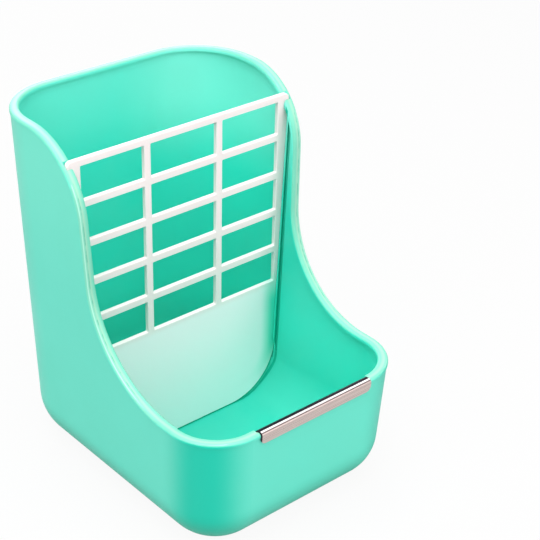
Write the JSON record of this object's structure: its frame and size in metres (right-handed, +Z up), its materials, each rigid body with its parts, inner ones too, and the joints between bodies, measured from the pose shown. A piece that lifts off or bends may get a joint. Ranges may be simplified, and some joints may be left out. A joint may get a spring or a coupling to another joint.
{
  "type": "hay and food feeder",
  "caption": "Small-pet feeder: a tall hay hopper moulded with a low food bowl, a slide-in lattice guard, a steel lip strip and a screw clamp for a wire cage wall.",
  "frame": {"origin": "middle of the overall box, at the height of the foot that the feeder stands on", "axes": "+X to the right seen from the bowl, +Y from the bowl towards the cage wall, +Z up"},
  "size_m": [0.1238, 0.1774, 0.1674],
  "materials": {
    "feeder_plastic": "satin moulded plastic",
    "guard_plastic": "white moulded plastic",
    "bar_plastic": "white moulded plastic",
    "strip_steel": "bright rolled strip",
    "zinc_steel": "zinc plated"
  },
  "bodies": {
    "feeder": {"feeder_body": "feeder_plastic", "lip_guard": "strip_steel"},
    "guard": {"hay_guard": "guard_plastic"},
    "bolts": {"cage_bolt_left": "zinc_steel", "cage_bolt_right": "zinc_steel"},
    "clamp": {"clamp_bar": "bar_plastic", "washer_left": "zinc_steel", "washer_right": "zinc_steel"},
    "nut_left": {"wing_nut_left": "zinc_steel"},
    "nut_right": {"wing_nut_right": "zinc_steel"}
  },
  "joints": [
    {"name": "guard_lift", "type": "slide", "parent": "feeder", "child": "guard", "axis": [0, 0, 1], "range_m": [0, 0.165]},
    {"name": "bolts_lift", "type": "slide", "parent": "feeder", "child": "bolts", "axis": [0, 0, 1], "range_m": [0, 0.03]},
    {"name": "clamp_travel", "type": "slide", "parent": "bolts", "child": "clamp", "axis": [0, 1, 0], "range_m": [-0.00421, 0.00201]},
    {"name": "nut_left_turn", "type": "hinge", "parent": "clamp", "child": "nut_left", "pos_m": [-0.016, 0.0815, 0.12], "axis": [0, 1, 0], "range_deg": [-1512, 720]},
    {"name": "nut_right_turn", "type": "hinge", "parent": "clamp", "child": "nut_right", "pos_m": [0.016, 0.0815, 0.12], "axis": [0, 1, 0], "range_deg": [-1512.5, 720.5]}
  ],
  "couplings": [
    {"joint": "clamp_travel", "follows": "nut_left_turn", "m_per_rad": 0.00015915},
    {"joint": "nut_right_turn", "follows": "nut_left_turn", "ratio": 1}
  ]
}
